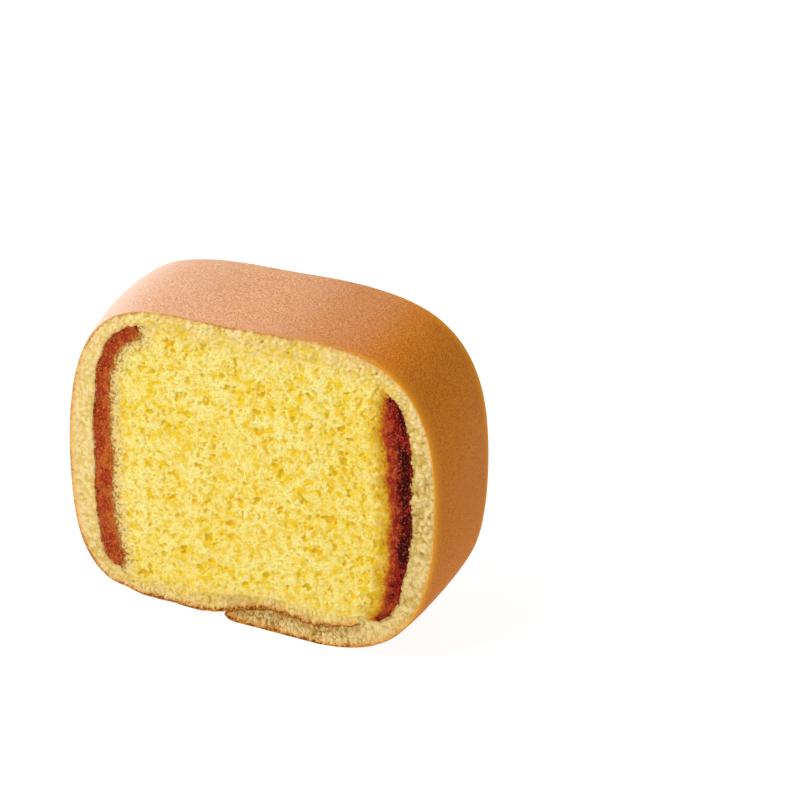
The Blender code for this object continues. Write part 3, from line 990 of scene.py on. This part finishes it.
def make_paste(rng, piece, table, wet_table, wet_sink):
    """A strip of paste from end to end of its table, sunk by wet_sink in mm beside the skin."""
    start = table[0][0]
    end = table[-1][0]
    count = round((end - start - 2 * PASTE_ROUNDING) * PERIMETER / PASTE_STEP)
    middle = np.linspace(start + PASTE_ROUNDING, end - PASTE_ROUNDING, count)
    lead = end_places(start, -1, PASTE_ROUNDING)[::-1]
    tail = end_places(end, 1, PASTE_ROUNDING)
    places = np.concatenate([lead, middle, tail])
    outer = core_inset(places) + GAP / 2 - PASTE_LEDGE
    inner = core_inset(places) + GAP * 3 / 2 + eased(table, places) + JOINT_REACH
    outer, inner = rounded(places, (outer, inner), start, end, PASTE_ROUNDING, PASTE_PINCH)

    def carve(below, from_rim, from_bed, around):
        """The paste dives under the crumb, lies lower beside the skin and lowest where it is wettest."""
        crevice = PASTE_CREVICE * np.clip(1.0 - from_rim / (2 * PASTE_LEDGE), 0.0, 1.0)
        wet = wet_sink * np.clip((WET_REACH - from_rim) / WET_FADE + 0.5, 0.0, 1.0)
        return below + crevice + wet + sunk(from_bed)

    ring = Ring(HIDDEN_SPANS, PASTE_ACROSS, HIDDEN_SPANS, 0.0, 1)
    reliefs = [paste_relief(rng) for _ in range(2)]
    make_layer(piece, ring, places, outer, inner, reliefs, carve, None, {"wet": wet_table})


def sponge_side(table, count):
    """Places and insets of the sponge's side that gives way to paste, corner to corner."""
    start = table[0][0] - PASTE_CLEARANCE
    end = table[-1][0] + PASTE_CLEARANCE
    places = np.linspace(start, end, count + 1)
    outer = core_inset(places) + GAP / 2 - JOINT_REACH
    paste = outer + GAP + eased(table, places)
    share = np.clip(np.minimum(places - start, end - places) / PASTE_ROUNDING, 0.0, 1.0)
    return places, outer + (paste - outer) * np.sqrt(1.0 - (1.0 - share) ** 2)


def seen_at(column, row):
    """x and z in mm of the point of the front cut that a pixel of the photograph shows."""
    across = (column - IMAGE_SIZE / 2) * SENSOR / LENS / IMAGE_SIZE
    upward = (IMAGE_SIZE / 2 - row) * SENSOR / LENS / IMAGE_SIZE
    turn = math.radians(CAMERA_AZIMUTH)
    tilt = math.radians(CAMERA_ELEVATION)
    ahead = math.cos(tilt) + upward * math.sin(tilt)
    x = across * math.cos(turn) - ahead * math.sin(turn)
    y = across * math.sin(turn) + ahead * math.cos(turn)
    z = upward * math.cos(tilt) - math.sin(tilt)
    reach = (-DEPTH / 2 - CAMERA_PLACE[1]) / y
    return CAMERA_PLACE[0] + reach * x, CAMERA_PLACE[2] + reach * z


def photographed_holes():
    """The largest open bubbles, each its centre, half width and half height in mm on the cut."""
    holes = []
    for column, row, width, height in HOLES:
        x, z = seen_at(column, row)
        half_width = seen_at(column + width / 2, row)[0] - x
        half_height = seen_at(column, row - height / 2)[1] - z
        holes.append((x, z, half_width, half_height))
    return holes


def drawn_holes(rng):
    """Seeded large bubbles for the cut that the photograph doesn't show."""
    holes = []
    for _ in HOLES:
        x, z = rng.uniform(*BACK_HOLE_CORNERS)
        half_width = rng.uniform(*BACK_HOLE_WIDTHS)
        holes.append((x, z, half_width, half_width * rng.uniform(*BACK_HOLE_TALLNESS)))
    return holes


def sponge_edge(start, end, count):
    places = np.linspace(start, end, count + 1)
    return places, core_inset(places) + GAP / 2 - JOINT_REACH


def patch(bottom, left, top, right):
    """Grid of points that fills four sides, each from one corner to the next round the patch."""
    rise = np.linspace(0, 1, len(left))[:, None, None]
    run = np.linspace(0, 1, len(bottom))[None, :, None]
    across = left[:, None] * (1 - run) + right[::-1][:, None] * run
    upward = bottom[::-1][None] * (1 - rise) + top[None] * rise
    lower = left[0] * (1 - run) + right[-1] * run
    upper = left[-1] * (1 - run) + right[0] * run
    grid = across + upward - lower * (1 - rise) - upper * rise
    for _ in range(RELAX_ROUNDS):
        around = grid[:-2, 1:-1] + grid[2:, 1:-1] + grid[1:-1, :-2] + grid[1:-1, 2:]
        grid[1:-1, 1:-1] = around / 4
    return grid


def distance_to(line, points):
    """Distance in mm from each point to the nearest point of a line, of which only some are tried."""
    nearest = np.full(points.shape[:-1], np.inf)
    for point in line[::LINE_STRIDE]:
        nearest = np.minimum(nearest, np.hypot(points[..., 0] - point[0], points[..., 1] - point[1]))
    return nearest


def make_sponge_half(rng, name, front, material):
    """The crumb from one cut to the middle of the depth, where the two halves meet."""
    left = sponge_side(LEFT_PASTE, SPONGE_ROWS)
    right = sponge_side(RIGHT_PASTE, SPONGE_ROWS)
    bottom = sponge_edge(right[0][-1] - 1.0, left[0][0], SPONGE_COLUMNS)
    top = sponge_edge(left[0][-1], right[0][0], SPONGE_COLUMNS)
    sides = (bottom, left, top, right)
    cut = [flat_points(places, insets, 0.0 if front else 1.0) for places, insets in sides]
    middle = [flat_points(places, insets, 0.5) for places, insets in sides]

    grid = patch(*cut)
    to_bottom, pale, to_top, stain = (distance_to(line, grid) for line in cut)
    shelf = np.minimum(to_bottom, to_top)
    edge = np.minimum(np.minimum(pale, stain), shelf)
    relief = sponge_relief(rng, photographed_holes() if front else drawn_holes(rng))
    x, z = np.moveaxis(grid, -1, 0)
    pit = relief.at(x, z) + sunk(edge)
    bubble_depth = relief.open_at(x, z)
    y = (pit - DEPTH / 2) * (1.0 if front else -1.0)

    index = np.arange(pit.size).reshape(pit.shape)
    loop = np.concatenate([index[0, ::-1], index[1:, 0], index[-1, 1:], index[-2:0:-1, -1]])
    far = pit.size + np.arange(len(loop))
    walls = quads(np.stack([np.append(loop, loop[0]), np.append(far, far[0])]))
    faces = np.concatenate([quads(index), walls])
    cap = far[::-1]
    if not front:
        faces = faces[:, ::-1]
        cap = far
    faces = faces.tolist() + [cap.tolist()]
    near = np.stack([x, y, z], axis=-1).reshape(-1, 3)
    far_points = np.concatenate([line[:-1] for line in middle])
    back = np.stack([far_points[:, 0], np.zeros(len(loop)), far_points[:, 1]], axis=-1)
    attributes = {}
    for key, values in (("pit", pit), ("bubble_depth", bubble_depth)):
        attributes[key] = np.concatenate([values.ravel(), np.zeros(len(loop))])
    for key, values in (("stain", stain), ("pale", pale), ("shelf", shelf)):
        attributes[key] = np.concatenate([values.ravel(), values.ravel()[loop]])
    points = np.concatenate([near, back])
    make_piece(name, "sponge", "yellow_sponge", material, points, faces, attributes)


# Stage

def make_floor():
    """A white floor that glows a little, so that the shadow on it stays soft."""
    data = bpy.data.meshes.new("floor")
    turns = ((-1, -1), (1, -1), (1, 1), (-1, 1))
    data.from_pydata([(x * FLOOR_REACH, y * FLOOR_REACH, 0) for x, y in turns], [], [(0, 1, 2, 3)])
    nodes = Nodes("pale_floor")
    nodes.shader.inputs["Emission Color"].default_value = (1.0, 1.0, 1.0, 1.0)
    nodes.shader.inputs["Emission Strength"].default_value = FLOOR_GLOW
    data.materials.append(nodes.finish((FLOOR_TONE, FLOOR_TONE, FLOOR_TONE, 1.0), 0.9, 0.0))
    add_object("floor", data)


def make_lamp(name, direction, size, share):
    """A square soft light that gives a surface facing it this share of a full white."""
    data = bpy.data.lights.new(name, "AREA")
    data.shape = "SQUARE"
    data.size = size
    data.energy = share * math.pi ** 2 * LAMP_DISTANCE ** 2
    lamp = add_object(name, data)
    away = Vector(direction).normalized()
    lamp.location = Vector((0.0, 0.0, HEIGHT / 2 * MM)) + away * LAMP_DISTANCE
    lamp.rotation_euler = away.to_track_quat("Z", "Y").to_euler()


def make_stage():
    make_floor()
    world = bpy.data.worlds.new("studio")
    world.use_nodes = True
    background = world.node_tree.nodes["Background"]
    background.inputs["Color"].default_value = (1.0, 1.0, 1.0, 1.0)
    background.inputs["Strength"].default_value = WORLD_LIGHT
    bpy.context.scene.world = world
    for lamp in LAMPS:
        make_lamp(*lamp)


def make_camera():
    data = bpy.data.cameras.new("camera")
    data.lens = LENS
    data.sensor_width = SENSOR
    data.clip_start = CLIP_START
    camera = add_object("camera", data)
    camera.location = [value * MM for value in CAMERA_PLACE]
    camera.rotation_euler = (math.radians(90 - CAMERA_ELEVATION), 0.0, math.radians(CAMERA_AZIMUTH))
    bpy.context.scene.camera = camera


rng = np.random.default_rng(SEED)
crumb = sponge_material()
make_sponge_half(rng, "crumb_front", True, crumb)
make_sponge_half(rng, "crumb_back", False, crumb)
make_skin(rng, skin_material())
left_paste = paste_material(
    "paste",
    outer_tones=((178, 52, 26), (196, 84, 34)),
    inner_tones=((182, 66, 28), (199, 101, 36)),
    inmost=(196, 104, 36),
    dark=(116, 36, 8),
    streak=(142, 40, 12),
    glints=((236, 146, 90), (236, 146, 90)),
    turn=0.5,
    roughness=0.6,
)
# Dark outer tones and black streaks by the skin: partly its own colour, partly painted shade
right_paste = paste_material(
    "dark_paste",
    outer_tones=((138, 13, 8), (178, 38, 24)),
    inner_tones=((150, 34, 16), (186, 72, 34)),
    inmost=(206, 84, 36),
    dark=(56, 2, 0),
    streak=(26, 0, 0),
    glints=((214, 100, 80), (220, 118, 80)),
    turn=0.47,
    roughness=0.5,
)
left_strip = ("bean_strip_left", "paste_left", "bean_paste", left_paste)
right_strip = ("bean_strip_right", "paste_right", "dark_bean_paste", right_paste)
make_paste(rng, left_strip, LEFT_PASTE, LEFT_WET, 0.0)
make_paste(rng, right_strip, RIGHT_PASTE, RIGHT_WET_AND_SHADE, WET_SINK)
make_stage()
make_camera()
bpy.context.scene.view_settings.view_transform = "Standard"
